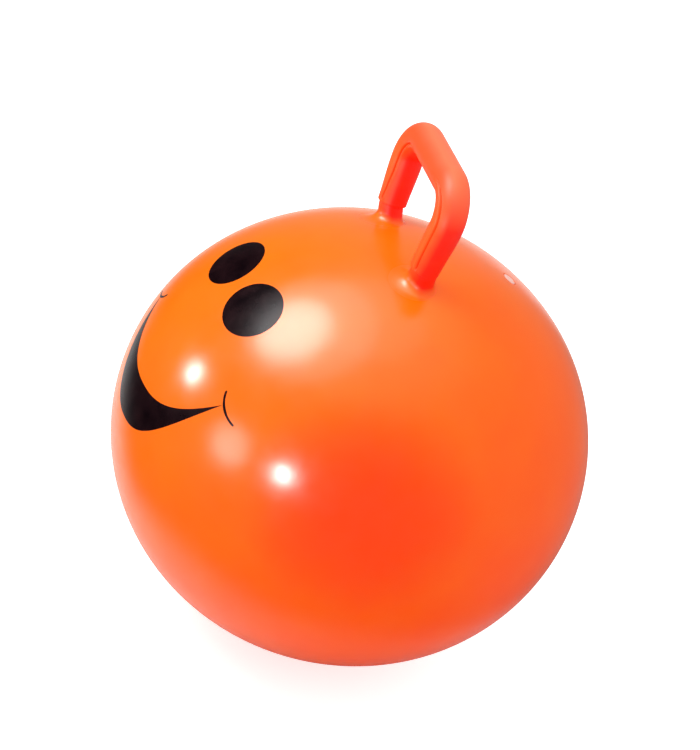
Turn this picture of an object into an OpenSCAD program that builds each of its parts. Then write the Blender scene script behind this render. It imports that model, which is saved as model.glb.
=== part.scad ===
// Hopper ball: a soft hollow ball with a loop handle on its crown, a plugged
// air valve behind the handle and a printed smiling face.
// +Z is up through the handle, the face looks towards -Y and the valve is on
// the +Y side. The origin is on the floor under the middle of the ball.

/* [Ball] */
// Widest diameter of the inflated ball
ball_d = 450; // [430:5:480]
// Height of the ball, crown to bottom, before its weight flattens the bottom
ball_h = 421; // [400:1:440]
// Thickness of the moulded skin
skin_t = 1.2; // [0.8:0.1:3]
// Radius of the flat patch that the ball rests on
rest_r = 26; // [15:1:40]

/* [Handle] */
// Distance between the two legs where they leave the ball
foot_gap = 110; // [95:1:125]
// Distance between the legs, measured up at the grip bar
grip_gap = 135; // [120:1:160]
// Height of the grip bar's middle line above the crown
grip_rise = 84.8; // [75:1:120]
// Radius of the two bends, on the middle line of the tube
bend_r = 28.5; // [20:1:36]
// Diameter of the tube at the grip
tube_d = 29.6; // [26:0.2:34]
// Diameter of the tube where a leg starts
leg_d = 27; // [25.6:0.2:30]
// Diameter of the neck between a leg and the ball
neck_d = 23; // [20:0.2:23.6]
// Height of the neck, up to the step where the leg starts
neck_h = 16.5; // [12:0.5:20]
// Radius of the blend from the neck into the ball
blend_r = 9; // [6:0.5:11]
// Thickness of the handle's wall
tube_t = 2.2; // [1.4:0.1:4]
// Angle that the soft loop leans back
lean_back = 7.6; // [0:0.1:9]

/* [Valve] */
// Angle of the valve from the crown, towards the back
valve_angle = 28; // [22:0.5:38]
// Diameter of the valve seat in the skin
seat_d = 24; // [20:0.5:30]
// Diameter of the flange bonded under the skin
flange_d = 34; // [31:0.5:44]
// Thickness of the flange at its edge
flange_t = 1.8; // [1:0.1:3]
// Outer diameter of the sleeve that holds the plug's stem
sleeve_d = 14; // [12:0.5:18]
// Length of the sleeve inside the ball, under the flange
sleeve_l = 12; // [8:0.5:18]
// Diameter of the plug's head
head_d = 12.6; // [10:0.2:15]
// Thickness of the plug's head at its edge
head_t = 1.2; // [0.8:0.1:2]
// Rise of the dome on the plug's head
head_rise = 0.7; // [0.3:0.1:1.5]
// Diameter of the plug's stem
stem_d = 8; // [6:0.2:9]
// Length of the plug's stem
stem_l = 16; // [10:0.5:20]
// Length of the tapered tip of the stem
tip_l = 4; // [2:0.5:6]
// Diameter of the end of the stem
tip_d = 5.6; // [3:0.2:6]
// Gap round the head in its recess
recess_gap = 0.9; // [0.4:0.1:2]
// Radial clearance of the stem in the sleeve
stem_gap = 0.05; // [0.02:0.01:0.1]
// Gap left under the plug's head
head_gap = 0.1; // [0.05:0.05:0.3]

/* [Face print] */
// Thickness of the printed ink
ink_t = 0.15; // [0.1:0.05:0.4]
// Height of the middle of the print, as an angle above the ball's middle
print_lift = 35; // [30:1:40]
// Angle that the print sits off the handle's middle, seen from above
print_turn = 5.5; // [-10:0.5:10]
// Width of an eye
eye_w = 58; // [44:1:66]
// Height of an eye
eye_h = 53; // [40:1:60]
// Distance between the middles of the eyes
eye_gap = 72.6; // [70:0.2:90]
// Height of the eyes above the middle of the print
eye_rise = 52.7; // [45:0.1:60]
// Sideways shift of the pair of eyes
eye_shift = -3.8; // [-8:0.1:8]
// Angle of the line through the eyes
eye_turn = -4.4; // [-8:0.1:8]
// Width of the smile, tip to tip
smile_w = 178.6; // [150:0.2:184]
// Depth of the smile's upper edge below its tips
smile_upper = 50; // [35:1:60]
// Depth of the smile's lower edge below its tips
smile_lower = 88; // [75:1:95]
// Depth of the smile's tips below the middle of the print
smile_drop = 21.9; // [15:0.1:28]
// Sideways shift of the smile
smile_shift = 3.7; // [-8:0.1:8]
// Sideways lean of the smile's lower edge
smile_lean = 11.3; // [0:0.1:12]
// Angle of the line through the smile's tips
smile_turn = 3.7; // [-8:0.1:8]
// Radius of the crease at each end of the smile
crease_r = 24.2; // [20:0.1:34]
// Width of the crease at its middle
crease_w = 2; // [1.2:0.1:4]
// Space from the smile's tip to the middle of the crease
crease_off = 1.7; // [0.5:0.1:3]
// Turn of the left crease about the smile's tip
left_crease_turn = 18.7; // [0:0.1:30]
// Shift of the left crease towards the middle of the smile
left_crease_in = 4.6; // [0:0.1:8]
// Rise of the left crease
left_crease_rise = 1.7; // [0:0.1:5]
// Bare gap between the smile and each crease
print_gap = 0.3; // [0.2:0.05:0.6]

/* [Hidden] */
$fn = 96;

// The ball's section is a four-centre oval of true arcs: round sides of side_r
// that meet a flatter crown and bottom of crown_r without a corner.
ball_r = ball_d / 2;
half_h = ball_h / 2;
corner = norm([ball_r, half_h]);
side_r = corner * (corner - ball_r + half_h) / ball_d;
crown_r = corner * (corner + ball_r - half_h) / ball_h;
side_x = ball_r - side_r;
crown_drop = crown_r - half_h;
rest_rise = crown_r - sqrt(pow(crown_r, 2) - pow(rest_r, 2));
ball_z = half_h - rest_rise;

// The loop's middle line lies in one plane and starts on the ball's surface.
foot_x = foot_gap / 2;
grip_x = grip_gap / 2;
foot_angle = asin(foot_x / crown_r);
foot_z = crown_r * cos(foot_angle) - crown_drop;
grip_z = half_h + grip_rise - foot_z;
flare = atan2(grip_x - foot_x, grip_z);
bend_turn = 90 + flare;
bend_reach = bend_r * tan(bend_turn / 2);
bend_step = tube_t / 40;
bend_lap = tube_t / 4;
leg_l = norm([grip_x - foot_x, grip_z]) - bend_reach + bend_lap - neck_h;
leg_top = leg_l / 3;

// The blend's round almost touches the crown, and leaves an edge this thick.
blend_edge = skin_t / 4;
// The neck stands square to the crown, aims at the middle of the leg's lower
// end, and ends inside the leg, past that slanting end.
neck_x = foot_x + neck_h * sin(flare);
neck_y = neck_h * cos(flare) * sin(lean_back);
neck_z = foot_z + crown_drop + neck_h * cos(flare) * cos(lean_back);
neck_side = asin(neck_x / norm([neck_x, neck_y, neck_z]));
neck_back = atan2(neck_y, neck_z);
neck_r = neck_d / 2;
neck_l = neck_h + neck_r * (abs(sin(neck_side - flare)) + sin(lean_back));
blend_x = neck_r + blend_r;
blend_z = sqrt(pow(crown_r + blend_r + blend_edge, 2) - pow(blend_x, 2)) - crown_r;

seat_r = seat_d / 2;
flange_r = flange_d / 2;
flange_base = skin_t + flange_t + crown_r - sqrt(pow(crown_r, 2) - pow(flange_r, 2));
head_r = head_d / 2;
stem_r = stem_d / 2;
recess_depth = head_t + head_gap;
dome_r = (pow(head_r, 2) + pow(head_rise, 2)) / (2 * head_rise);

smile_power = 2.48;
smile_steps = 24;
crease_steps = 10;
crease_from = 201;
crease_to = 275.5;
crease_touch = 230;
crease_tip_share = 0.6;

// One overrun serves all the cuts.
over = ball_d + ball_h;

// Half of the oval section, grown outwards by an amount. The arcs meet where
// the line through their centres, square to the corner line, leaves the oval.
module oval_half(grow) {
    joint_z = (side_r + grow) * ball_r / corner;
    intersection() {
        translate([side_x, 0]) circle(r = side_r + grow, $fn = 240);
        translate([0, -joint_z]) square([over, 2 * joint_z]);
    }
    for (end = [0, 1]) mirror([0, end]) intersection() {
        translate([0, -crown_drop]) circle(r = crown_r + grow, $fn = 240);
        translate([0, joint_z]) square([over, over]);
    }
}

// A solid ball on its flat rest patch, grown outwards by an amount.
module ball_solid(grow) {
    translate([0, 0, ball_z]) rotate_extrude($fn = 180) difference() {
        oval_half(grow);
        translate([0, -ball_z - grow - over]) square([over, over]);
    }
}

// Puts children on the crown, with +Z square to the surface there.
module on_crown(back, side) {
    translate([0, 0, ball_z - crown_drop]) rotate([-back, side, 0]) translate([0, 0, crown_r]) children();
}

// The crown as a whole ball, seen from a place on it, grown by an amount.
module crown_ball(grow) {
    translate([0, 0, -crown_r]) sphere(r = crown_r + grow, $fn = 240);
}

// Puts children in the loop's own plane, which leans as the soft loop does.
module on_loop() {
    translate([0, 0, ball_z + foot_z]) rotate([-lean_back, 0, 0]) children();
}

// One leg of the loop and the bend above it, thinner by an inset on all sides.
// The bend is a hair thicker than what it joins, and the leg ends inside it.
module leg_and_bend(inset) {
    leg_r = leg_d / 2 - inset;
    tube_r = tube_d / 2 - inset;
    translate([foot_x, 0, 0]) rotate([0, flare, 0]) translate([0, 0, neck_h])
        rotate_extrude()
        polygon([[0, inset], [leg_r, inset], [tube_r, leg_l - leg_top], [tube_r, leg_l], [0, leg_l]]);
    translate([grip_x - bend_reach, 0, grip_z - bend_r]) rotate([90, 0, 0]) rotate([0, 0, -flare])
        rotate_extrude(angle = bend_turn) translate([bend_r, 0]) circle(r = tube_r + bend_step);
}

// The whole loop: two legs, two bends and the grip bar between them.
module whole_loop(inset) {
    on_loop() {
        for (side = [0, 1]) mirror([side, 0, 0]) leg_and_bend(inset);
        translate([0, 0, grip_z]) rotate([0, 90, 0])
            cylinder(h = 2 * (grip_x - bend_reach + bend_lap), r = tube_d / 2 - inset, center = true);
    }
}

// A neck with its blend, standing on the crown.
module neck() {
    rotate_extrude() difference() {
        translate([0, -blend_r]) square([blend_x, blend_r + neck_l]);
        translate([blend_x, blend_z]) circle(r = blend_r);
        translate([neck_r, blend_z]) square([over, over]);
    }
}

// The air way through a neck, from inside the ball through the leg's floor.
module neck_bore() {
    cylinder(h = 2 * (neck_l + tube_t), r = neck_r - tube_t, center = true);
}

// Puts a flat outline of the face on the ball as a film of ink.
module ink_film() {
    difference() {
        intersection() {
            ball_solid(ink_t);
            translate([0, 0, ball_z]) rotate([0, 0, print_turn]) rotate([90 - print_lift, 0, 0])
                linear_extrude(height = over) children();
        }
        ball_solid(0);
    }
}

// The outline of one eye, side -1 or 1.
module eye_outline(side) {
    translate([eye_shift, eye_rise]) rotate(eye_turn) translate([side * eye_gap / 2, 0])
        scale([eye_w / eye_h, 1]) circle(d = eye_h);
}

// Puts an outline in the smile's own place, with its origin between the tips.
module on_smile() {
    translate([smile_shift, -smile_drop]) rotate(smile_turn) children();
}

// A point on an edge of the smile, at a share of the way from the middle.
function smile_point(share, depth, lean) =
    [share * smile_w / 2 - lean * (1 - pow(share, 2)), -depth * (1 - pow(abs(share), smile_power))];

// The smile's outline, which stops short of the creases.
module smile_outline() {
    upper = [for (i = [-smile_steps:2:smile_steps]) smile_point(i / smile_steps, smile_upper, 0)];
    lower = [for (i = [smile_steps - 2:-2:2 - smile_steps]) smile_point(i / smile_steps, smile_lower, smile_lean)];
    difference() {
        on_smile() polygon(concat(upper, lower));
        for (side = [-1, 1]) crease_outline(side, print_gap);
    }
}

// A point on an edge of a crease, edge -1 or 1, with thinner ends, grown by an amount.
function crease_point(i, edge, grow) =
    let (
        turn = crease_from + (crease_to - crease_from) * i / crease_steps,
        share = max(crease_tip_share, sin(180 * i / crease_steps))
    )
    (crease_r + edge * (share * crease_w / 2 + grow)) * [cos(turn), sin(turn)];

// Carries a crease from the origin to the smile's tip on side -1 or 1. The
// print isn't quite even: the left crease is turned and stands further in.
module at_smile_tip(side) {
    if (side > 0) translate([smile_w / 2, 0]) children();
    else translate([left_crease_in - smile_w / 2, left_crease_rise])
        rotate(-left_crease_turn) mirror([1, 0, 0]) children();
}

// The outline of the crease on side -1 or 1, grown by an amount.
module crease_outline(side, grow) {
    outer = [for (i = [0:crease_steps]) crease_point(i, 1, grow)];
    inner = [for (i = [crease_steps:-1:0]) crease_point(i, -1, grow)];
    on_smile() at_smile_tip(side)
        translate(-(crease_r + crease_off) * [cos(crease_touch), sin(crease_touch)])
        polygon(concat(outer, inner));
}

skin_colour = "darkorange";
handle_colour = "orangered";
plug_colour = "mistyrose";
ink_colour = [0.09, 0.02, 0.03];

// The hollow ball, open under the legs and round the valve seat.
module ball_skin() {
    color(skin_colour) difference() {
        ball_solid(0);
        ball_solid(-skin_t);
        for (side = [-1, 1]) on_crown(neck_back, side * neck_side) neck_bore();
        on_crown(valve_angle, 0) cylinder(h = seat_d, r = seat_r, center = true);
    }
}

// The hollow loop with a blended foot at each end, standing on the skin.
module loop_handle() {
    color(handle_colour) difference() {
        union() {
            whole_loop(0);
            for (side = [-1, 1]) on_crown(neck_back, side * neck_side) neck();
        }
        whole_loop(tube_t);
        for (side = [-1, 1]) on_crown(neck_back, side * neck_side) neck_bore();
        ball_solid(0);
    }
}

// The soft seat: flush in the skin, with a flange and a sleeve inside the ball.
module valve_seat() {
    color(skin_colour) on_crown(valve_angle, 0) difference() {
        union() {
            intersection() {
                crown_ball(0);
                translate([0, 0, -flange_base]) cylinder(h = over, r = seat_r);
            }
            intersection() {
                crown_ball(-skin_t);
                translate([0, 0, -flange_base]) cylinder(h = over, r = flange_r);
            }
            translate([0, 0, -flange_base - sleeve_l]) cylinder(h = sleeve_l + skin_t, d = sleeve_d);
        }
        cylinder(h = 2 * over, r = stem_r + stem_gap, center = true);
        translate([0, 0, -recess_depth]) cylinder(h = over, r = head_r + recess_gap);
    }
}

// The push-in plug: a low domed head on a straight stem with a tapered tip.
module valve_plug() {
    color(plug_colour) on_crown(valve_angle, 0) {
        intersection() {
            translate([0, 0, -head_t]) cylinder(h = head_t + head_rise, r = head_r);
            translate([0, 0, head_rise - dome_r]) sphere(r = dome_r, $fn = 180);
        }
        translate([0, 0, tip_l - stem_l - head_t]) cylinder(h = stem_l - tip_l, r = stem_r);
        translate([0, 0, -stem_l - head_t]) cylinder(h = tip_l, d1 = tip_d, d2 = stem_d);
    }
}

module left_eye() {
    color(ink_colour) ink_film() eye_outline(-1);
}

module right_eye() {
    color(ink_colour) ink_film() eye_outline(1);
}

module smile() {
    color(ink_colour) ink_film() smile_outline();
}

module left_cheek_crease() {
    color(ink_colour) ink_film() crease_outline(-1, 0);
}

module right_cheek_crease() {
    color(ink_colour) ink_film() crease_outline(1, 0);
}

ball_skin();
loop_handle();
valve_seat();
valve_plug();
left_eye();
right_eye();
smile();
left_cheek_crease();
right_cheek_crease();
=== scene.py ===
import math

import bpy
import numpy as np
from mathutils import Matrix, Vector


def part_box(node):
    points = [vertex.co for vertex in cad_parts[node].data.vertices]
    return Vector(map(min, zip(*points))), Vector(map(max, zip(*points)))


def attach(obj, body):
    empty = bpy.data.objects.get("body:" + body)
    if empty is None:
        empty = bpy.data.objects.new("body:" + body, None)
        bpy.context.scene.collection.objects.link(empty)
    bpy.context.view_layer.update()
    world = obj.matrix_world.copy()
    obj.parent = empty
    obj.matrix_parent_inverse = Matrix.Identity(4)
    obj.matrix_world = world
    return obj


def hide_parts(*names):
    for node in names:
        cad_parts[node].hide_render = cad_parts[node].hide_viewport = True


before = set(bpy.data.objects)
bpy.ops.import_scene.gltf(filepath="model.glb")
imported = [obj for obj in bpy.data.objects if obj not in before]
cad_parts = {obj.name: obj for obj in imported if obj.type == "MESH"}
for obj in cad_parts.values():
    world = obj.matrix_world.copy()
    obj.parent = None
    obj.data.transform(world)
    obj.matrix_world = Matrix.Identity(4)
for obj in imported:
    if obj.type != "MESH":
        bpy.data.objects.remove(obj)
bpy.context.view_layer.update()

print("hopper ball: frame loaded")

mm = 0.001  # lengths in the dictionaries below are in millimetres


def inMetres(values):
    return {name: value * mm for name, value in values.items()}


# The ball's section, which the materials and the surfaces share

ballValues = {
    "restRadius": 26,      # flat patch that the ball stands on
    "restSoftness": 0.12,  # rounding where the flat patch begins
    "wall": 1.2,
    "rows": 210,           # counts of points, here and in each dictionary named rows
    "rowsInside": 60,
    "columns": 288,
}

lowCorner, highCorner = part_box("ball_skin")
ballRadius = (highCorner.x - lowCorner.x) / 2
restRadius = ballValues["restRadius"] * mm


def ovalOf(halfHeight):
    # four-centre oval: side and crown radii whose arcs meet square to the line between the corners
    corner = math.hypot(ballRadius, halfHeight)
    side = corner * (corner - ballRadius + halfHeight) / (2 * ballRadius)
    crown = corner * (corner + ballRadius - halfHeight) / (2 * halfHeight)
    return side, crown


halfHeight = highCorner.z / 2
for _ in range(6):  # the flat patch takes a little off the height, which the box doesn't show
    sideRadius, crownRadius = ovalOf(halfHeight)
    restRise = crownRadius - math.sqrt(crownRadius ** 2 - restRadius ** 2)
    halfHeight = (highCorner.z + restRise) / 2
sideOffset = ballRadius - sideRadius
crownDrop = crownRadius - halfHeight
middle = np.array([0, 0, halfHeight - restRise])
crownCentre = middle - [0, 0, crownDrop]

# The handle's plane, which leans back: it goes through the middles of both feet

footGap = 110 * mm
leanBack = math.radians(7.6)
footHeight = crownRadius * math.cos(math.asin(footGap / 2 / crownRadius)) - crownDrop
loopFoot = middle + [0, 0, footHeight]
loopUp = np.array([0, math.sin(leanBack), math.cos(leanBack)])
loopBack = np.array([0, math.cos(leanBack), -math.sin(leanBack)])
loopBehind = float(loopBack @ loopFoot)


# Materials

def hexToLinear(code):
    # sRGB hex to linear light: the low end is a straight line, the rest a 2.4 power
    parts = [int(code[i:i + 2], 16) / 255 for i in (1, 3, 5)]
    return [p / 12.92 if p <= 0.04045 else ((p + 0.055) / 1.055) ** 2.4 for p in parts] + [1.0]


def addNode(tree, kind, settings=None, links=None):
    # one node: a setting is an input socket where the node has one of that name, or else a property
    node = tree.nodes.new(kind)
    for name, value in (settings or {}).items():
        if isinstance(name, int) or name in node.inputs:
            node.inputs[name].default_value = value
        else:
            setattr(node, name, value)
    for name, socket in (links or {}).items():
        tree.links.new(socket, node.inputs[name])
    return node


def emptyTree(owner):
    # the nodes of a material or a world, cleared
    owner.use_nodes = True
    owner.node_tree.nodes.clear()
    return owner.node_tree


def newMaterial(name):
    # an empty material, and the object's own coordinates in metres
    material = bpy.data.materials.new(name)
    tree = emptyTree(material)
    place = addNode(tree, "ShaderNodeTexCoord").outputs["Object"]
    return material, tree, place


def noiseAt(tree, place, size, detail=2.0, roughness=0.5):
    # noise whose lumps are about size millimetres across
    return addNode(tree, "ShaderNodeTexNoise",
                   {"Scale": 1 / (size * mm), "Detail": detail, "Roughness": roughness},
                   {"Vector": place}).outputs["Fac"]


def spread(tree, value, low, high, fromLow=0.3, fromHigh=0.7, way="LINEAR"):
    # carries a value from one range to another: the first is the useful middle of a noise, if not given
    return addNode(tree, "ShaderNodeMapRange",
                   {"interpolation_type": way, "From Min": fromLow, "From Max": fromHigh,
                    "To Min": low, "To Max": high},
                   {"Value": value}).outputs["Result"]


def mixColours(tree, factor, first, second):
    # from the first to the second colour by the factor; each is a hex code or a socket
    node = addNode(tree, "ShaderNodeMix", {"data_type": "RGBA"})
    tree.links.new(factor, node.inputs[0])
    for socket, colour in ((6, first), (7, second)):
        if isinstance(colour, str):
            node.inputs[socket].default_value = hexToLinear(colour)
        else:
            tree.links.new(colour, node.inputs[socket])
    return node.outputs[2]


def bumpOf(tree, height, depth, under=None):
    # bump of depth millimetres, laid over another bump where there is one
    links = {"Height": height}
    if under is not None:
        links["Normal"] = under
    bump = addNode(tree, "ShaderNodeBump", {"Strength": 1.0, "Distance": depth * mm}, links)
    return bump.outputs["Normal"]


def finishMaterial(tree, settings, links):
    shader = addNode(tree, "ShaderNodeBsdfPrincipled", settings, links)
    addNode(tree, "ShaderNodeOutputMaterial", {}, {"Surface": shader.outputs[0]})


softPvc = {
    "colour": "#ff7a00",      # the skin's lit colour: the upper front, lighter by painted light
    "colourDeep": "#ff4c00",  # painted shade: the colour darkens towards one side and the bottom
    "shadeTowards": (0.65, 0.43, -0.62),
    "colourShadeSpot": "#ff2000",  # and most of all in one wide soft spot of painted shade
    "spotTowards": (0.914, -0.236, 0.330),
    "shadeSpotFrom": 194,          # distances towards the spot between which it comes in
    "spotTo": 226,
    "shadeSpotShare": 0.64,
    "cloud": 55,              # width of the faint clouds in it
    "cloudShare": 0.06,
    "ripple": 13,             # slow waviness of the soft moulded wall
    "rippleDepth": 0.045,
    "grain": 0.9,             # drawn coarser than the real satin grain, which is too fine to show
    "grainDepth": 0.003,
    "ior": 1.53,
    "level": 0.4,
    "roughness": (0.2, 0.24),
}


def skinColourWithPaintedShade(tree, place):
    # the skin's colour with painted shade: darker towards one side and the bottom, and in a soft spot,
    # with faint clouds
    clouds = spread(tree, noiseAt(tree, place, softPvc["cloud"], detail=3.0),
                    -softPvc["cloudShare"], softPvc["cloudShare"])
    fromMiddle = addNode(tree, "ShaderNodeVectorMath",
                         {"operation": "SUBTRACT", 1: middle.tolist()}, {0: place})

    def towards(direction, high, start, end, way):
        along = addNode(tree, "ShaderNodeVectorMath", {"operation": "DOT_PRODUCT", 1: direction},
                        {0: fromMiddle.outputs[0]})
        return spread(tree, along.outputs["Value"], 0.0, high, start, end, way)

    # painted shade: darker towards one side and the bottom
    depth = towards(softPvc["shadeTowards"], 1.0, -ballRadius, ballRadius, "LINEAR")
    share = addNode(tree, "ShaderNodeMath", {"operation": "ADD", "use_clamp": True},
                    {0: depth, 1: clouds})
    wall = mixColours(tree, share.outputs[0], softPvc["colour"], softPvc["colourDeep"])
    # painted shade: one wide soft spot where the skin gets the least light
    spot = towards(softPvc["spotTowards"], softPvc["shadeSpotShare"],
                   softPvc["shadeSpotFrom"] * mm, softPvc["spotTo"] * mm, "SMOOTHSTEP")
    return mixColours(tree, spot, wall, softPvc["colourShadeSpot"])


def mouldedSoftPvc():
    # Plasticised PVC, rotationally moulded: a satin gloss wall with slow ripples and faint
    # clouds of colour, so that reflections of lamps have soft, uneven edges. Its colour carries
    # painted shade, darker towards one side and the bottom.
    material, tree, place = newMaterial("mouldedSoftPvc")
    ripple = bumpOf(tree, noiseAt(tree, place, softPvc["ripple"], 1.0), softPvc["rippleDepth"])
    grain = bumpOf(tree, noiseAt(tree, place, softPvc["grain"], 1.0), softPvc["grainDepth"], ripple)
    gloss = spread(tree, noiseAt(tree, place, softPvc["cloud"] / 3), *softPvc["roughness"])
    finishMaterial(tree, {
        "IOR": softPvc["ior"], "Specular IOR Level": softPvc["level"],
    }, {"Base Color": skinColourWithPaintedShade(tree, place), "Roughness": gloss, "Normal": grain})
    return material


handlePvc = {
    "front": "#ff6219",       # painted light: the strip of each leg that faces forwards, lighter
    "behind": "#ff1e00",      # painted shade: the rest of the legs, redder where they lie in shade
    "topFront": "#ff5220",    # the same two on the bends and the grip bar, where the second is a painted highlight
    "topPaintedHighlight": "#ff744a",
    "frontTo": (-14, -5),     # places across the loop's plane between which front goes over to behind
    "topFrom": (66, 104),     # heights over the feet between which the legs go over to the top
    "footFrom": (-2, 6),      # heights over the crown between which the skin goes over to the loop
    "footLate": 7,            # in front this starts so much higher
    "lateTo": (-13, 0),       # places across the loop's plane between which that ends
    "cloud": 30,
    "cloudShare": 0.12,
    "ripple": 9,
    "rippleDepth": 0.05,
    "grain": 0.8,
    "grainDepth": 0.006,
    "level": (0.4, 0.2),      # at the skin and on the loop
    "roughness": (0.28, 0.42),
}


def mouldedHandlePvc():
    # The same soft PVC in a thicker wall: redder and less glossy, with short ripples. Painted light
    # and shade make the legs lighter in front and reddest behind, and a painted highlight makes the
    # top paler behind. At its feet the colour and the gloss come out of the skin's.
    material, tree, place = newMaterial("thickMouldedSoftPvc")

    def ramp(value, start, ends, low=0.0, high=1.0):
        return spread(tree, value, low, high, start + ends[0] * mm, start + ends[1] * mm)

    def alongAxis(axis):
        return addNode(tree, "ShaderNodeVectorMath", {"operation": "DOT_PRODUCT", 1: axis.tolist()},
                       {0: place}).outputs["Value"]

    def added(first, second, clamped=False):
        return addNode(tree, "ShaderNodeMath", {"operation": "ADD", "use_clamp": clamped},
                       {0: first, 1: second}).outputs[0]

    across, height = alongAxis(loopBack), alongAxis(loopUp)
    clouds = spread(tree, noiseAt(tree, place, handlePvc["cloud"]),
                    -handlePvc["cloudShare"], handlePvc["cloudShare"])
    # painted light and shade: lighter in front, redder behind; on the top, paler behind by a painted
    # highlight
    behind = added(ramp(across, loopBehind, handlePvc["frontTo"]), clouds, True)
    leg = mixColours(tree, behind, handlePvc["front"], handlePvc["behind"])
    # painted highlight: the bends and the grip bar are paler behind
    top = mixColours(tree, behind, handlePvc["topFront"], handlePvc["topPaintedHighlight"])
    loop = mixColours(tree, ramp(height, float(loopUp @ loopFoot), handlePvc["topFrom"]), leg, top)
    over = addNode(tree, "ShaderNodeVectorMath",
                   {"operation": "DISTANCE", 1: crownCentre.tolist()}, {0: place})
    late = ramp(across, loopBehind, handlePvc["lateTo"], -handlePvc["footLate"] * mm, 0.0)
    rise = ramp(added(over.outputs["Value"], late), crownRadius, handlePvc["footFrom"])
    colour = mixColours(tree, rise, skinColourWithPaintedShade(tree, place), loop)
    ripple = bumpOf(tree, noiseAt(tree, place, handlePvc["ripple"], 1.0), handlePvc["rippleDepth"])
    grain = bumpOf(tree, noiseAt(tree, place, handlePvc["grain"], 1.0), handlePvc["grainDepth"], ripple)
    finishMaterial(tree, {"IOR": softPvc["ior"]}, {
        "Base Color": colour, "Normal": grain,
        "Roughness": spread(tree, rise, *handlePvc["roughness"], 0.0, 1.0),
        "Specular IOR Level": spread(tree, rise, *handlePvc["level"], 0.0, 1.0),
    })
    return material


plugPlastic = {
    "colour": "#fccbc0",
    "colourDeep": "#f6b8aa",
    "cloud": 4,
    "grain": 0.5,
    "grainDepth": 0.008,
    "ior": 1.51,
    "roughness": 0.42,
    "inside": 0.25,           # share of the light that passes into it
    "insideReach": 1.2,
    "insideShares": (1.0, 0.7, 0.5),  # of that reach, for red, green and blue
}


def mouldedPlugPlastic():
    # Undyed soft polyethylene, injection moulded: milky, with light passing into it
    material, tree, place = newMaterial("naturalPolyethylene")
    clouds = spread(tree, noiseAt(tree, place, plugPlastic["cloud"]), 0.0, 1.0)
    colour = mixColours(tree, clouds, plugPlastic["colour"], plugPlastic["colourDeep"])
    grain = bumpOf(tree, noiseAt(tree, place, plugPlastic["grain"], 1.0), plugPlastic["grainDepth"])
    finishMaterial(tree, {
        "IOR": plugPlastic["ior"],
        "Roughness": plugPlastic["roughness"],
        "Subsurface Weight": plugPlastic["inside"],
        "Subsurface Radius": plugPlastic["insideShares"],
        "Subsurface Scale": plugPlastic["insideReach"] * mm,
    }, {"Base Color": colour, "Normal": grain})
    return material


screenInk = {
    "colour": "#0d0408",
    "colourThin": "#241014",
    "thinShare": 0.8,
    "mesh": 0.6,              # tooth left by the printing screen
    "meshDepth": 0.01,
    "cloud": 18,
    "ior": 1.5,
    "level": 0.12,
    "roughness": (0.2, 0.25),
}


def screenPrintedInk():
    # Vinyl screen ink on soft PVC: near black, satin, with the faint tooth of the screen's mesh
    material, tree, place = newMaterial("screenPrintedInk")
    thin = spread(tree, noiseAt(tree, place, screenInk["cloud"], detail=3.0),
                  0.0, screenInk["thinShare"])
    colour = mixColours(tree, thin, screenInk["colour"], screenInk["colourThin"])
    tooth = bumpOf(tree, noiseAt(tree, place, screenInk["mesh"], 1.0), screenInk["meshDepth"])
    ripple = bumpOf(tree, noiseAt(tree, place, softPvc["ripple"], 1.0), softPvc["rippleDepth"], tooth)
    gloss = spread(tree, noiseAt(tree, place, screenInk["cloud"]), *screenInk["roughness"])
    finishMaterial(tree, {
        "IOR": screenInk["ior"], "Specular IOR Level": screenInk["level"],
    }, {"Base Color": colour, "Roughness": gloss, "Normal": ripple})
    return material


skinFinish = mouldedSoftPvc()
handleFinish = mouldedHandlePvc()
plugFinish = mouldedPlugPlastic()
inkFinish = screenPrintedInk()
print("hopper ball: materials made")


# Surfaces

sharpAngle = math.radians(38)  # edges with a wider turn than this are shaded as corners


def addObject(name, data):
    thing = bpy.data.objects.new(name, data)
    bpy.context.scene.collection.objects.link(thing)
    return thing


def meshFromGrid(name, points, closedAlong, material):
    # A grid of points [along, round, xyz] as one closed surface. It is always closed round; along,
    # it either closes on itself or ends in a point at each end, the mean of its last row.
    along, around = points.shape[:2]
    index = np.arange(along * around).reshape(along, around)
    beside = np.roll(index, -1, axis=1)
    if closedAlong:
        ahead, aheadBeside = np.roll(index, -1, axis=0), np.roll(beside, -1, axis=0)
        quads = np.stack([index, beside, aheadBeside, ahead], axis=-1).reshape(-1, 4)
        vertices, ends = points.reshape(-1, 3), np.empty((0, 3), int)
    else:
        quads = np.stack([index[:-1], beside[:-1], beside[1:], index[1:]], axis=-1).reshape(-1, 4)
        first, last = along * around, along * around + 1
        vertices = np.vstack([points.reshape(-1, 3), points[0].mean(0), points[-1].mean(0)])
        ends = np.vstack([
            np.stack([np.full(around, first), beside[0], index[0]], axis=-1),
            np.stack([np.full(around, last), index[-1], beside[-1]], axis=-1),
        ])
    mesh = bpy.data.meshes.new(name)
    mesh.from_pydata(vertices.tolist(), [], quads.tolist() + ends.tolist())
    mesh.validate()
    mesh.shade_smooth()
    mesh.set_sharp_from_angle(angle=sharpAngle)
    mesh.materials.append(material)
    return addObject(name, mesh)


def outwards(points, closedAlong=False):
    # turns the grid round if the volume that its faces enclose comes out negative
    nextRound = np.roll(points, -1, axis=1)
    ahead = np.roll(points, -1, axis=0) if closedAlong else points[1:]
    start, startBeside = (points, nextRound) if closedAlong else (points[:-1], nextRound[:-1])
    volume = (np.cross(startBeside - start, ahead - start) * start).sum()
    return points[:, ::-1] if volume < 0 else points


def smoothStep(share):
    # 0 up to 0, 1 from 1, and between them the cubic with level ends
    share = np.clip(share, 0, 1)
    return share * share * (3 - 2 * share)


def unit(vectors):
    return vectors / np.linalg.norm(vectors, axis=-1, keepdims=True)


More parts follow.
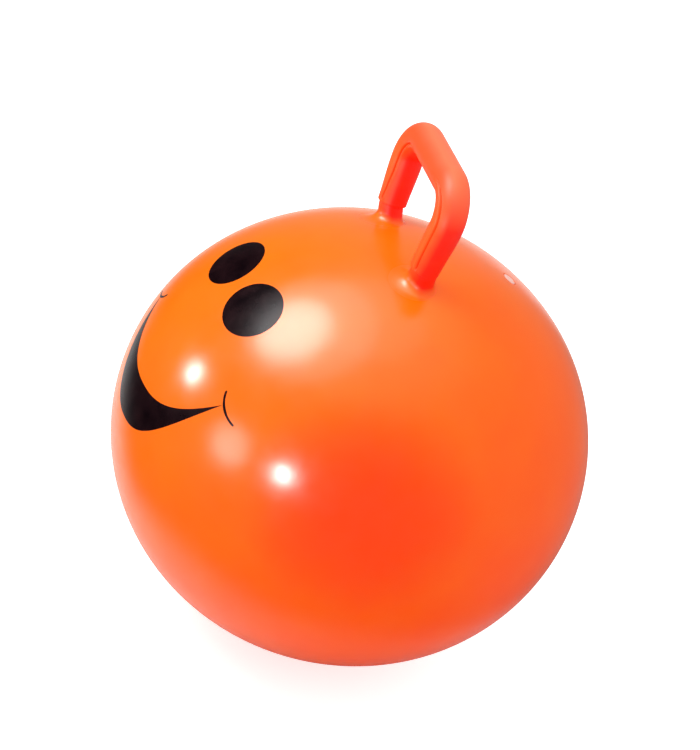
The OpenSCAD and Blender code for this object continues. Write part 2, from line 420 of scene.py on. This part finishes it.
def skinDistance(points):
    # height above the skin: distance to the crown's ball inside the crown's cone, and elsewhere to
    # the side arc's centre circle, less the arc's radius
    level = points - middle
    radial, height = np.hypot(level[..., 0], level[..., 1]), np.abs(level[..., 2])
    inCrown = radial * ballRadius < (height + crownDrop) * halfHeight
    crown = np.hypot(radial, height + crownDrop) - crownRadius
    side = np.hypot(radial - sideOffset, height) - sideRadius
    return np.where(inCrown, crown, side)


def skinPoint(normals, lift=0.0):
    # the skin's point that faces along each normal: an arc's centre plus its radius along the normal
    flat = np.linalg.norm(normals[..., :2], axis=-1)
    tall = np.abs(normals[..., 2])
    inCrown = flat * ballRadius < tall * halfHeight
    radius = np.where(inCrown, (crownRadius + lift) * flat, sideOffset + (sideRadius + lift) * flat)
    height = np.where(inCrown, (crownRadius + lift) * tall - crownDrop, (sideRadius + lift) * tall)
    outward = normals[..., :2] / np.maximum(flat, 1e-12)[..., None]
    return middle + np.concatenate(
        [outward * radius[..., None], (np.sign(normals[..., 2]) * height)[..., None]], axis=-1)


valveValues = {
    "seat": 24,
    "flange": 34,
    "flangeEdge": 1.8,
    "sleeve": 14,
    "sleeveLength": 12,
    "head": 12.6,
    "headEdge": 1.2,
    "headDome": 0.7,
    "headRound": 0.35,
    "stem": 8,
    "stemLength": 16,
    "tip": 4,
    "tipEnd": 5.6,
    "tipMiddle": 0.1,     # radius of the small ring that closes the tip's end
    "recessGap": 0.9,
    "stemGap": 0.05,
    "headGap": 0.1,
    "rimRound": 0.4,
}
valveRows = {"seatTop": 8, "seatUnder": 6, "dome": 14, "columns": 96}
valveTurns = {
    "axis": 28,           # degrees from the crown towards the back
    "edgeFrom": 78,       # where the head's dome goes over into its rounded edge
}
domeMiddleShare = 0.01    # the dome's smallest ring, of its radius

valveTurn = math.radians(valveTurns["axis"])
valveAxis = np.array([0, math.sin(valveTurn), math.cos(valveTurn)])
valveSide = np.array([1.0, 0, 0])
valveUp = np.cross(valveAxis, valveSide)
valveFoot = crownCentre + crownRadius * valveAxis


def makeSkin():
    # Directions at a growing angle from the valve's axis, turned round it, give the outer wall from
    # the valve's hole to the far side. The same directions, one wall deeper, give the inside.
    seatRadius = valveValues["seat"] / 2 * mm
    wall = ballValues["wall"] * mm
    turn = np.linspace(0, 2 * math.pi, ballValues["columns"], endpoint=False)

    def wallRows(rows, lift):
        opening = math.asin(seatRadius / (crownRadius + lift))
        share = np.linspace(0, 1, rows + 1)[:-1]
        angle = (opening + (math.pi - opening) * share)[:, None]
        normals = (np.cos(angle)[..., None] * valveAxis
                   + (np.sin(angle) * np.cos(turn))[..., None] * valveSide
                   + (np.sin(angle) * np.sin(turn))[..., None] * valveUp)
        points = skinPoint(normals, lift)
        soft = ballValues["restSoftness"] * mm
        floorLevel = -lift
        points[..., 2] = floorLevel + soft * np.logaddexp(0, (points[..., 2] - floorLevel) / soft)
        return points

    outside = wallRows(ballValues["rows"], 0.0)
    inside = wallRows(ballValues["rowsInside"], -wall)
    return meshFromGrid("ballSkin", outwards(np.vstack([inside[::-1], outside])), False, skinFinish)


handleValues = {
    "gripGap": 135,
    "gripRise": 84.8,
    "bendRadius": 28.5,
    "tube": 29.6,
    "leg": 27,
    "neck": 23,
    "neckHeight": 16.5,
    "blend": 9,            # height of the blend from the crown into the neck
    "blendFront": 16,      # the blend reaches further in front of each leg than behind it
    "blendBack": 4,
    "sink": 0.3,           # how far the foot's rim goes below the skin
    "wall": 2.2,
    "stepRound": 0.7,
    "creaseDepth": 1.9,    # fold line along the front of each leg
    "creaseWidth": 0.8,
    "creaseStart": 5,      # lengths over which it comes in and goes out
    "creaseEnd": 22,
    "lipOff": 2.6,         # from the fold to the low lip beside it
    "lipWidth": 1.7,
    "lipHeight": 0.6,
}
foldLines = {
    # where each leg's fold runs: distance along the middle line, and turn round it in degrees
    "near": ((16, -57), (26, -61), (68, -62), (79, -66), (98, -82), (112, -92)),
    "far": ((16, -105), (30, -113), (46, -121), (62, -123), (80, -122), (104, -117), (112, -116)),
}
handleRows = {"foldSide": 66, "otherSide": 56, "foot": 18, "neck": 8, "stepRound": 6,
              "leg": 76, "bend": 52, "bar": 22}
handleTurns = {
    # round the tube, in degrees from its outer side: 90 is behind and -90 in front
    "foldSide": (-138, -45),  # drawn finer, because the folds are there
    "filledAt": 20,           # the neck is as wide as the leg here, so that the step fades out
    "filledFade": 50,         # and goes back to its own width over this turn
}
handleShape = {
    "taper": 2 / 3,        # of the leg, over which it widens into the tube
    "blendPower": 1.25,    # how softly the blend starts from the skin
    "frontPower": 1.4,     # how much of the round is the front, with its longer blend
    "filledReach": 1.4,    # in fades: half the filled stretch and its fade together
}


def makeHandle():
    # Half the middle line is a straight leg, a bend of true radius and half the grip bar, in the
    # loop's own plane; the other half is its mirror image. A circle of the local radius is carried
    # along it, square to it. In each neck the circles turn to lie on the crown, and below it they
    # widen along a round that starts softly from the skin. The same circles, one wall smaller, give
    # the inside.
    v = inMetres(handleValues)
    foldFrom, foldTo = handleTurns["foldSide"]
    turn = np.radians(np.concatenate([
        np.linspace(foldFrom, foldTo, handleRows["foldSide"], endpoint=False),
        np.linspace(foldTo, foldFrom + 360, handleRows["otherSide"], endpoint=False)]))
    footX, gripX = footGap / 2, v["gripGap"] / 2
    gripHeight = halfHeight + v["gripRise"] - footHeight
    flare = math.atan2(gripX - footX, gripHeight)
    bendTurn = math.pi / 2 + flare
    reach = v["bendRadius"] * math.tan(bendTurn / 2)
    legLength = math.hypot(gripX - footX, gripHeight) - reach
    origin, upwards, backwards = loopFoot, loopUp, loopBack
    sideways = np.array([1.0, 0, 0])
    legUp = math.sin(flare) * sideways + math.cos(flare) * upwards
    legOut = math.cos(flare) * sideways - math.sin(flare) * upwards
    legFoot = origin + footX * sideways + v["neckHeight"] * legUp
    footNormal = unit(legFoot - crownCentre)  # the neck aims at the leg's lower end
    footBack = unit(np.cross(footNormal, sideways))
    footOut = np.cross(footBack, footNormal)

    # the middle line after the foot: heading from upright, and place across and up
    step, stepRound = v["neckHeight"], v["stepRound"]
    legRun = step + stepRound + (legLength - step - stepRound) * np.linspace(0, 1, handleRows["leg"])
    bendRun = np.linspace(0, bendTurn, handleRows["bend"] + 1)[1:]
    barRun = np.linspace(gripX - reach, 0, handleRows["bar"] + 1)[1:]
    roundTurn = np.linspace(0, math.pi / 2, handleRows["stepRound"])
    stepRun = np.concatenate([[step], step + stepRound * (1 - np.cos(roundTurn))[:-1]])
    run = np.concatenate([stepRun, legRun])
    bendMiddle = gripX - reach, gripHeight - v["bendRadius"]
    heading = np.concatenate([np.full(run.size, flare), flare - bendRun,
                              np.full(barRun.size, -math.pi / 2)])
    across = np.concatenate([footX + run * math.sin(flare),
                             bendMiddle[0] + v["bendRadius"] * np.cos(bendRun - flare), barRun])
    up = np.concatenate([run * math.cos(flare),
                         bendMiddle[1] + v["bendRadius"] * np.sin(bendRun - flare),
                         np.full(barRun.size, gripHeight)])
    along = np.concatenate([run, legLength + v["bendRadius"] * bendRun,
                            legLength + v["bendRadius"] * bendTurn + gripX - reach - barRun])

    legRadius, tubeRadius = v["leg"] / 2, v["tube"] / 2
    taper = smoothStep((along - step) / (legLength * handleShape["taper"]))
    outer = legRadius + (tubeRadius - legRadius) * taper
    outer[:stepRun.size] = np.concatenate(
        [[v["neck"] / 2], legRadius - stepRound + stepRound * np.sin(roundTurn)[:-1]])
    boreRadius = v["neck"] / 2 - v["wall"]
    inner = np.where(along < step + v["wall"], boreRadius, outer - v["wall"])

    def creaseAt(foldLine):
        # a narrow groove with a low lip beside it, from the step to the end of the bend
        places, turns = np.array(foldLine).T
        creaseTurn = np.interp(along / mm, places, np.radians(turns))[:, None]
        apart = np.angle(np.exp(1j * (turn[None, :] - creaseTurn))) * tubeRadius
        last = places[-1] * mm
        depth = (smoothStep((along - step) / v["creaseStart"])
                 * smoothStep((last - along) / v["creaseEnd"]))[:, None]
        groove = np.exp(-(apart / v["creaseWidth"]) ** 2)
        lip = np.exp(-((apart + v["lipOff"]) / v["lipWidth"]) ** 2)
        return depth * (v["lipHeight"] * lip - v["creaseDepth"] * groove)

    def halfLoop(radius, wide, foldLine):
        # the foot's rings and the neck's, then the circles along the middle line
        low = np.linspace(0, math.pi / 2, handleRows["foot"])[:-1]
        neckRise = np.linspace(v["blend"], step, handleRows["neck"])[:-1]
        blendRise = v["blend"] * (1 - np.cos(low)) ** handleShape["blendPower"]
        rise = np.concatenate([[-v["sink"]], blendRise, neckRise])[:, None]
        front = ((1 - np.sin(turn)) / 2) ** handleShape["frontPower"]
        reach = wide * (v["blendBack"] + (v["blendFront"] - v["blendBack"]) * front)
        widening = np.concatenate([[1.0], 1 - np.sin(low), 0 * neckRise])[:, None]
        fromFilled = np.abs(np.degrees(turn) - handleTurns["filledAt"]) / handleTurns["filledFade"]
        filled = wide * smoothStep(handleShape["filledReach"] - fromFilled)
        footRadius = widening * reach + radius[0] + (legRadius - radius[0]) * filled
        share = smoothStep((rise - v["blend"]) / (step - v["blend"]))[..., None]
        tilt = np.arcsin(footRadius / (crownRadius + rise))
        ring = np.cos(turn)[:, None] * footOut + np.sin(turn)[:, None] * footBack
        onCrown = crownCentre + (crownRadius + rise)[..., None] * (
            np.cos(tilt)[..., None] * footNormal + np.sin(tilt)[..., None] * ring)
        legRing = np.cos(turn)[:, None] * legOut + np.sin(turn)[:, None] * backwards
        onLeg = origin + footX * sideways + rise[..., None] * legUp + footRadius[..., None] * legRing
        foot = onCrown * (1 - share) + onLeg * share
        out = np.cos(heading)[:, None] * sideways - np.sin(heading)[:, None] * upwards
        ring = np.cos(turn)[None, :, None] * out[:, None] + np.sin(turn)[None, :, None] * backwards
        centre = origin + across[:, None] * sideways + up[:, None] * upwards
        local = radius[:, None] + (creaseAt(foldLine) if foldLine else 0 * turn)
        local[:stepRun.size] += np.maximum(legRadius - radius[:stepRun.size], 0)[:, None] * filled
        return np.vstack([foot, centre[:, None] + local[..., None] * ring])

    def wholeLoop(radius, wide, near=None, far=None):
        first, second = halfLoop(radius, wide, near), halfLoop(radius, wide, far)
        return np.vstack([first, (second * [-1, 1, 1])[:-1][::-1]])

    outside = wholeLoop(outer, 1.0, foldLines["near"], foldLines["far"])
    inside = wholeLoop(inner, 0.0)
    points = np.vstack([outside, inside[::-1]])
    return meshFromGrid("loopHandle", outwards(points, True), True, handleFinish)


def turnedOnValve(profile):
    # a profile of radius and height, turned about the valve's axis
    turn = np.linspace(0, 2 * math.pi, valveRows["columns"], endpoint=False)
    ring = np.cos(turn)[:, None] * valveSide + np.sin(turn)[:, None] * valveUp
    return valveFoot + profile[:, None, 1:] * valveAxis + profile[:, None, :1] * ring


def quarterRound(centre, radius, start, end, count=6):
    # points of an arc in a profile, from one angle to another, in degrees
    turn = np.radians(np.linspace(start, end, count))
    return np.stack([centre[0] + radius * np.cos(turn), centre[1] + radius * np.sin(turn)], axis=-1)


def makeSeat():
    # One closed profile: the top that follows the crown, the rounded rim and floor of the recess,
    # the bore, the sleeve, the flange, and its face against the skin's underside.
    v = inMetres(valveValues)
    wall = ballValues["wall"] * mm
    seatRadius, flangeRadius = v["seat"] / 2, v["flange"] / 2
    boreRadius = v["stem"] / 2 + v["stemGap"]
    recessRadius = v["head"] / 2 + v["recessGap"]
    floorLevel = -v["headEdge"] - v["headGap"]
    rim, sleeveRadius = v["rimRound"], v["sleeve"] / 2
    under = crownRadius - wall
    flangeSag = crownRadius - math.sqrt(crownRadius ** 2 - flangeRadius ** 2)
    flangeLevel = -(wall + v["flangeEdge"] + flangeSag)

    def onCrownAt(radius, ball):
        return np.stack([radius, np.sqrt(ball ** 2 - radius ** 2) - crownRadius], axis=-1)

    top = onCrownAt(np.linspace(seatRadius, recessRadius + rim, valveRows["seatTop"]), crownRadius)
    rimLevel = top[-1, 1] - rim
    bottom = flangeLevel - v["sleeveLength"]
    profile = np.vstack([
        top,
        quarterRound((recessRadius + rim, rimLevel), rim, 90, 180)[1:],
        quarterRound((recessRadius - rim / 2, floorLevel + rim / 2), rim / 2, 0, -90),
        [[boreRadius + rim / 2, floorLevel]],
        quarterRound((boreRadius + rim / 2, floorLevel - rim / 2), rim / 2, 90, 180)[1:],
        [[boreRadius, bottom], [sleeveRadius, bottom],
         [sleeveRadius, flangeLevel], [flangeRadius, flangeLevel]],
        onCrownAt(np.linspace(flangeRadius, seatRadius, valveRows["seatUnder"]), under),
    ])
    points = turnedOnValve(profile)
    return meshFromGrid("valveSeat", outwards(points, True), True, skinFinish)


def makePlug():
    # A profile from the dome's middle over its rounded edge, down the stem and its tapered tip
    v = inMetres(valveValues)
    headRadius, stemRadius, edge = v["head"] / 2, v["stem"] / 2, v["headRound"]
    domeRadius = (headRadius ** 2 + v["headDome"] ** 2) / (2 * v["headDome"])
    domeRun = np.linspace(domeMiddleShare, 1, valveRows["dome"]) * (headRadius - edge)
    domeRise = v["headDome"] - domeRadius + np.sqrt(domeRadius ** 2 - domeRun ** 2)
    shoulder = -v["headEdge"]
    tipStart = shoulder - v["stemLength"] + v["tip"]
    tipLevel = tipStart - v["tip"]
    profile = np.vstack([
        np.stack([domeRun, domeRise], axis=-1),
        quarterRound((headRadius - edge, domeRise[-1] - edge), edge, valveTurns["edgeFrom"], 0),
        quarterRound((headRadius - edge / 2, shoulder + edge / 2), edge / 2, 0, -90),
        [[stemRadius, shoulder], [stemRadius, tipStart]],
        [[v["tipEnd"] / 2, tipLevel], [v["tipMiddle"], tipLevel]],
    ])
    points = turnedOnValve(profile)
    return meshFromGrid("valvePlug", outwards(points), False, plugFinish)


printValues = {
    "ink": 0.15,
    "creaseInk": 0.1725,   # the creases' film is a little thicker
    "sink": 0.1,           # how far the film's underside goes into the skin
    "eyeWidth": 58,
    "eyeHeight": 53,
    "eyeGap": 72.6,
    "eyeRise": 52.7,
    "eyeShift": -3.8,
    "smileWidth": 178.6,
    "smileUpper": 50,
    "smileLower": 88,
    "smileDrop": 21.9,
    "smileShift": 3.7,
    "smileLean": 11.3,
    "creaseRadius": 24.2,
    "creaseOff": 1.7,      # from the smile's tip to the crease's middle line
    "creaseWidth": 2.4,
    "leftCreaseIn": 4.6,   # the left crease stands a little further in and up, and is turned
    "leftCreaseRise": 1.7,
}
printTurns = {
    # in degrees
    "lift": 35,            # of the print's direction over the horizon
    "turn": 5.5,           # of that direction round the ball
    "eyes": -4.4,          # of both eyes about their shared middle
    "smile": 3.7,
    "creaseFrom": 201,     # places on the crease's circle: its ends, and what lies beside the tip
    "creaseTo": 275.5,
    "creaseTouch": 230,
    "leftCrease": -18.7,
}
printShape = {
    "smilePower": 2.48,
    "smileTip": 0.9995,    # share of the way to its tips at which the smile's points stop
    "eyeMiddle": 0.02,     # the eye's smallest ring, of its size
    "creaseEnds": 0.8,     # the crease's width near its ends, of its width at the middle
    "creasePower": 30,     # how blunt its ends are
}
printRows = {"eyeRound": 160, "eyeTop": 28, "eyeUnder": 12, "smileAlong": 301, "smileAcross": 22,
             "creaseAlong": 61, "creaseAcross": 8, "under": 6}
skinSteps = 40             # steps that carry the print out to the skin

printTilt, printTurn = math.radians(90 - printTurns["lift"]), math.radians(printTurns["turn"])
printRight = np.array([math.cos(printTurn), math.sin(printTurn), 0])
printUp = np.array([-math.sin(printTurn) * math.cos(printTilt),
                    math.cos(printTurn) * math.cos(printTilt),
                    math.sin(printTilt)])
printOut = np.cross(printRight, printUp)


def onSkin(flat, lift):
    # A point of the flat print, carried straight out to the skin: the line's point whose distance
    # from the skin is the lift, found by stepping along the line by what is still missing.
    base = middle + flat[..., :1] * printRight + flat[..., 1:] * printUp
    reach = np.full(flat.shape[:-1], halfHeight)
    for _ in range(skinSteps):
        points = base + reach[..., None] * printOut
        reach = reach - (skinDistance(points) - lift)
    return base + reach[..., None] * printOut


def turned(flat, degrees):
    # the flat print, turned about its middle
    turn = math.radians(degrees)
    return np.stack([flat[..., 0] * math.cos(turn) - flat[..., 1] * math.sin(turn),
                     flat[..., 0] * math.sin(turn) + flat[..., 1] * math.cos(turn)], axis=-1)


def makeEye(name, side):
    # An ellipse in growing rings out to its rim, and back under the film
    v = inMetres(printValues)
    first, rows = printShape["eyeMiddle"], printRows["eyeTop"]
    turn = np.linspace(0, 2 * math.pi, printRows["eyeRound"], endpoint=False)
    share = np.concatenate([np.linspace(first, 1, rows), [1.0],
                            np.linspace(1, first, printRows["eyeUnder"])[1:]])
    lift = np.where(np.arange(share.size) < rows, v["ink"], -v["sink"])
    flat = np.stack([share[:, None] * np.cos(turn) * v["eyeWidth"] / 2 + side * v["eyeGap"] / 2,
                     share[:, None] * np.sin(turn) * v["eyeHeight"] / 2], axis=-1)
    flat = turned(flat, printTurns["eyes"]) + [v["eyeShift"], v["eyeRise"]]
    points = onSkin(flat, np.broadcast_to(lift[:, None], flat.shape[:2]))
    return meshFromGrid(name, outwards(points), False, inkFinish)


def ribbon(name, first, second, lift, across):
    # A strip between two edges with the same number of points: across its top from the first edge
    # to the second, and back below the skin. Its ends close in a point.
    share = np.concatenate([np.linspace(0, 1, across), np.linspace(1, 0, printRows["under"])])
    level = np.where(np.arange(share.size) < across, lift, -printValues["sink"] * mm)
    flat = first[:, None] + share[None, :, None] * (second - first)[:, None]
    points = onSkin(flat, np.broadcast_to(level[None, :], flat.shape[:2]))
    return meshFromGrid(name, outwards(points), False, inkFinish)


def onSmile(flat):
    # from the smile's own middle to its place on the print
    place = np.array([printValues["smileShift"], -printValues["smileDrop"]]) * mm
    return turned(flat, printTurns["smile"]) + place


def makeSmile():
    # Both edges are power curves between the tips; the lower one leans to one side
    v = inMetres(printValues)
    spacing = np.linspace(-math.pi / 2, math.pi / 2, printRows["smileAlong"])
    share = np.sin(spacing) * printShape["smileTip"]
    bow = 1 - np.abs(share) ** printShape["smilePower"]
    across, lean = share * v["smileWidth"] / 2, v["smileLean"] * (1 - share ** 2)
    upper = onSmile(np.stack([across, -v["smileUpper"] * bow], axis=-1))
    lower = onSmile(np.stack([across - lean, -v["smileLower"] * bow], axis=-1))
    return ribbon("smile", upper, lower, v["ink"], printRows["smileAcross"])


def makeCrease(name, side):
    # An arc beside the smile's tip, of even width, with blunt ends
    v = inMetres(printValues)
    share = np.linspace(0, 1, printRows["creaseAlong"])
    turn = np.radians(np.interp(share, (0, 1), (printTurns["creaseFrom"], printTurns["creaseTo"])))
    touch = math.radians(printTurns["creaseTouch"])
    blunt = np.sqrt(1 - (2 * share - 1) ** printShape["creasePower"])
    bulge = np.maximum(printShape["creaseEnds"], np.sin(math.pi * share))
    half = bulge * blunt * v["creaseWidth"] / 2
    centre = -(v["creaseRadius"] + v["creaseOff"]) * np.array([math.cos(touch), math.sin(touch)])
    spoke = np.stack([np.cos(turn), np.sin(turn)], axis=-1)
    edges = []
    for way in (1, -1):
        edge = (centre + (v["creaseRadius"] + way * half)[:, None] * spoke) * [side, 1]
        if side < 0:
            edge = turned(edge, printTurns["leftCrease"]) + [v["leftCreaseIn"], v["leftCreaseRise"]]
        edges.append(onSmile(edge + [side * v["smileWidth"] / 2, 0]))
    return ribbon(name, *edges, v["creaseInk"], printRows["creaseAcross"])


pieces = [
    # maker, body, slot, CAD node
    (makeSkin(), "ball", "skin", "ball_skin"),
    (makeHandle(), "ball", "handle", "loop_handle"),
    (makeSeat(), "ball", "skin", "valve_seat"),
    (makePlug(), "plug", "plug", "valve_plug"),
    (makeEye("leftEye", -1), "ball", "ink", "left_eye"),
    (makeEye("rightEye", 1), "ball", "ink", "right_eye"),
    (makeSmile(), "ball", "ink", "smile"),
    (makeCrease("leftCheekCrease", -1), "ball", "ink", "left_cheek_crease"),
    (makeCrease("rightCheekCrease", 1), "ball", "ink", "right_cheek_crease"),
]
for piece, body, slotName, node in pieces:
    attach(piece, body)
    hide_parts(node)
print("hopper ball:", len(pieces), "pieces made")


# Floor, light and camera

studio = {
    "floorSize": 16,        # metres across
    "floorColumns": 96,
    "floorColour": "#f2f2f2",
    "floorLift": 0.62,      # what the camera sees of the floor is raised to white by this much
    "ambient": 1.05,        # world strength on the object; the camera and gloss see it at 1
    "lamps": {
        # place in metres, size in metres, power in watts, seen by: "body" colour or "gloss" alone
        "bodyLight": ((-0.30, -1.30, 1.90), 1.20, 14, "body"),
        # the softbox has a weak wide panel behind it, which softens its edge in the gloss
        "softbox": ((-0.36, -1.11, 2.07), 1.10, 41, "gloss"),
        "softboxGlow": ((-0.30, -0.92, 2.22), 2.10, 30, "gloss"),
        "overhead": ((-0.30, -0.10, 2.50), 1.80, 8, "gloss"),
        "leftHead": ((-0.423, -1.356, 0.583), 0.17, 6, "gloss"),
        "rightHead": ((1.057, -1.047, 0.503), 0.17, 9, "gloss"),
        "middleHead": ((0.467, -1.406, 0.443), 0.46, 4.5, "gloss"),
    },
    "flag": {
        # a dark cloth all round, seen in the gloss alone: its reach and its height over the floor in
        # metres, and in degrees its lowest and highest points and how softly it ends below and above
        "colour": "#0a0a0a", "reach": 3.0, "overFloor": 0.003,
        "lowest": -88, "highest": 74, "softLow": 12, "softHigh": 32,
        "columns": 91, "rows": 82,
    },
    # directions round the ball in degrees, from -Y towards +X, with the cloth's seam on the side away
    # from the photograph: each with the height of the cloth's lower edge in degrees
    "flagEdge": ((-126, -4), (-100, -12), (-85, -18), (-60, -20), (-35, -28), (-15, -36), (20, -38),
                 (60, -43), (205, -45), (234, -4)),
    # each with the cloth's darkness above that edge
    "flagDark": ((-126, 0.5), (-110, 0.5), (-75, 1), (105, 1), (140, 0.72), (222, 0.72), (234, 0.5)),
    # and each with the share of that darkness which is left below the edge
    "flagBelow": ((-126, 0), (30, 0), (85, 0.5), (205, 0.6), (234, 0)),
}
cameraValues = {
    # the angles of the line of sight, the ball's middle in the photograph, and the lens
    "azimuth": 68.23,
    "elevation": 31.98,
    "roll": 15.30,
    "distance": 1.8,          # metres from the ball's middle, along the line of sight
    "focalPixels": 1902.6,
    "ballPixel": (349.88, 433.95),
    "frame": (700, 750),
}


def makeFloor():
    # One white disc, far wider than the view, so that no edge of it shows
    turn = np.linspace(0, 2 * math.pi, studio["floorColumns"], endpoint=False)
    rim = np.stack([np.cos(turn), np.sin(turn), 0 * turn], axis=-1) * studio["floorSize"] / 2
    mesh = bpy.data.meshes.new("floor")
    mesh.from_pydata(rim.tolist(), [], [list(range(turn.size))])
    floor = addObject("floor", mesh)
    material = bpy.data.materials.new("paleStudioFloor")
    tree = emptyTree(material)
    rays = addNode(tree, "ShaderNodeLightPath")
    paper = addNode(tree, "ShaderNodeBsdfDiffuse", {"Color": hexToLinear(studio["floorColour"])})
    seen = addNode(tree, "ShaderNodeMath", {"operation": "MULTIPLY", 1: studio["floorLift"]},
                   {0: rays.outputs["Is Camera Ray"]})
    lift = addNode(tree, "ShaderNodeEmission", {}, {"Strength": seen.outputs[0]})
    both = addNode(tree, "ShaderNodeAddShader", {}, {0: paper.outputs[0], 1: lift.outputs[0]})
    addNode(tree, "ShaderNodeOutputMaterial", {}, {"Surface": both.outputs[0]})
    mesh.materials.append(material)


def makeFlag():
    # A dome round the ball's middle, open at the top and cut off by the floor. Its darkness fades
    # upwards and downwards, so that no edge shows in the ball, and it is thinner on the far side.
    v = studio["flag"]
    start, end = studio["flagEdge"][0][0], studio["flagEdge"][-1][0]
    turn = np.linspace(start, end, v["columns"])[:, None]
    edge, darkness, below = (np.interp(turn, *np.array(studio[name], float).T)
                             for name in ("flagEdge", "flagDark", "flagBelow"))
    rise = np.linspace(v["lowest"], v["highest"], v["rows"])[None, :]
    dark = (darkness * smoothStep((v["highest"] - rise) / v["softHigh"])
            * (below + (1 - below) * smoothStep((rise - edge) / v["softLow"])))
    across, level = np.broadcast_arrays(np.radians(turn), np.radians(rise))
    toFloor = (middle[2] - v["overFloor"]) / np.maximum(-np.sin(level), 1e-6)
    reach = np.minimum(v["reach"], toFloor)
    points = middle + reach[..., None] * np.stack(
        [np.sin(across) * np.cos(level), -np.cos(across) * np.cos(level), np.sin(level)], axis=-1)
    index = np.arange(dark.size).reshape(dark.shape)
    quads = np.stack([index[:-1, :-1], index[1:, :-1], index[1:, 1:], index[:-1, 1:]], axis=-1)
    quads = quads.reshape(-1, 4)
    mesh = bpy.data.meshes.new("flag")
    mesh.from_pydata(points.reshape(-1, 3).tolist(), [], quads.tolist())
    attribute = mesh.attributes.new("dark", "FLOAT", "POINT")
    attribute.data.foreach_set("value", dark.reshape(-1).astype(np.float32))
    flag = addObject("flag", mesh)
    material = bpy.data.materials.new("blackFlagCloth")
    tree = emptyTree(material)
    share = addNode(tree, "ShaderNodeAttribute", {"attribute_name": "dark"})
    clear = addNode(tree, "ShaderNodeBsdfTransparent")
    cloth = addNode(tree, "ShaderNodeBsdfDiffuse", {"Color": hexToLinear(v["colour"])})
    both = addNode(tree, "ShaderNodeMixShader", {}, {0: share.outputs["Fac"], 1: clear.outputs[0],
                                                     2: cloth.outputs[0]})
    addNode(tree, "ShaderNodeOutputMaterial", {}, {"Surface": both.outputs[0]})
    mesh.materials.append(material)
    flag.visible_camera = flag.visible_diffuse = flag.visible_shadow = flag.visible_transmission = False


def makeWorld():
    world = bpy.data.worlds.new("studio")
    bpy.context.scene.world = world
    tree = emptyTree(world)
    rays = addNode(tree, "ShaderNodeLightPath")
    direct = addNode(tree, "ShaderNodeMath", {"operation": "MAXIMUM"},
                     {0: rays.outputs["Is Camera Ray"], 1: rays.outputs["Is Glossy Ray"]})
    seen = addNode(tree, "ShaderNodeMath", {"operation": "MAXIMUM"},
                   {0: direct.outputs[0], 1: rays.outputs["Is Transmission Ray"]})
    level = addNode(tree, "ShaderNodeMapRange", {"To Min": studio["ambient"], "To Max": 1.0},
                    {"Value": seen.outputs[0]})
    back = addNode(tree, "ShaderNodeBackground", {"Color": (1, 1, 1, 1)}, {"Strength": level.outputs[0]})
    addNode(tree, "ShaderNodeOutputWorld", {}, {"Surface": back.outputs[0]})


def makeLamps():
    for name, (place, size, power, seenBy) in studio["lamps"].items():
        light = bpy.data.lights.new(name, "AREA")
        light.shape = "DISK"
        light.size = size
        light.energy = power
        lamp = addObject(name, light)
        lamp.visible_diffuse, lamp.visible_glossy = seenBy == "body", seenBy == "gloss"
        lamp.location = place
        aim = Vector(middle) - Vector(place)
        lamp.rotation_euler = aim.to_track_quat("-Z", "Y").to_euler()


def makeCamera():
    # The camera looks along the line of sight, rolled about it, and is moved sideways until the
    # ball's middle falls on its pixel.
    azimuth, elevation, roll = (math.radians(cameraValues[name])
                                for name in ("azimuth", "elevation", "roll"))
    back = np.array([math.sin(azimuth) * math.cos(elevation), -math.cos(azimuth) * math.cos(elevation),
                     math.sin(elevation)])
    level = unit(np.cross([0, 0, 1.0], back))
    upright = np.cross(back, level)
    right = level * math.cos(roll) + upright * math.sin(roll)
    up = upright * math.cos(roll) - level * math.sin(roll)
    width, height = cameraValues["frame"]
    aside = (cameraValues["ballPixel"][0] - width / 2) / cameraValues["focalPixels"]
    below = (cameraValues["ballPixel"][1] - height / 2) / cameraValues["focalPixels"]
    place = middle + cameraValues["distance"] * (back - aside * right + below * up)
    data = bpy.data.cameras.new("camera")
    data.sensor_width = 36
    data.lens = cameraValues["focalPixels"] / max(width, height) * data.sensor_width
    camera = addObject("camera", data)
    facing = Matrix([[*row] for row in np.stack([right, up, back], axis=1).tolist()])
    camera.matrix_world = Matrix.Translation(place.tolist()) @ facing.to_4x4()
    bpy.context.scene.camera = camera


makeFloor()
makeFlag()
makeWorld()
makeLamps()
makeCamera()
bpy.context.scene.view_settings.view_transform = "Standard"
print("hopper ball: floor, light and camera set")
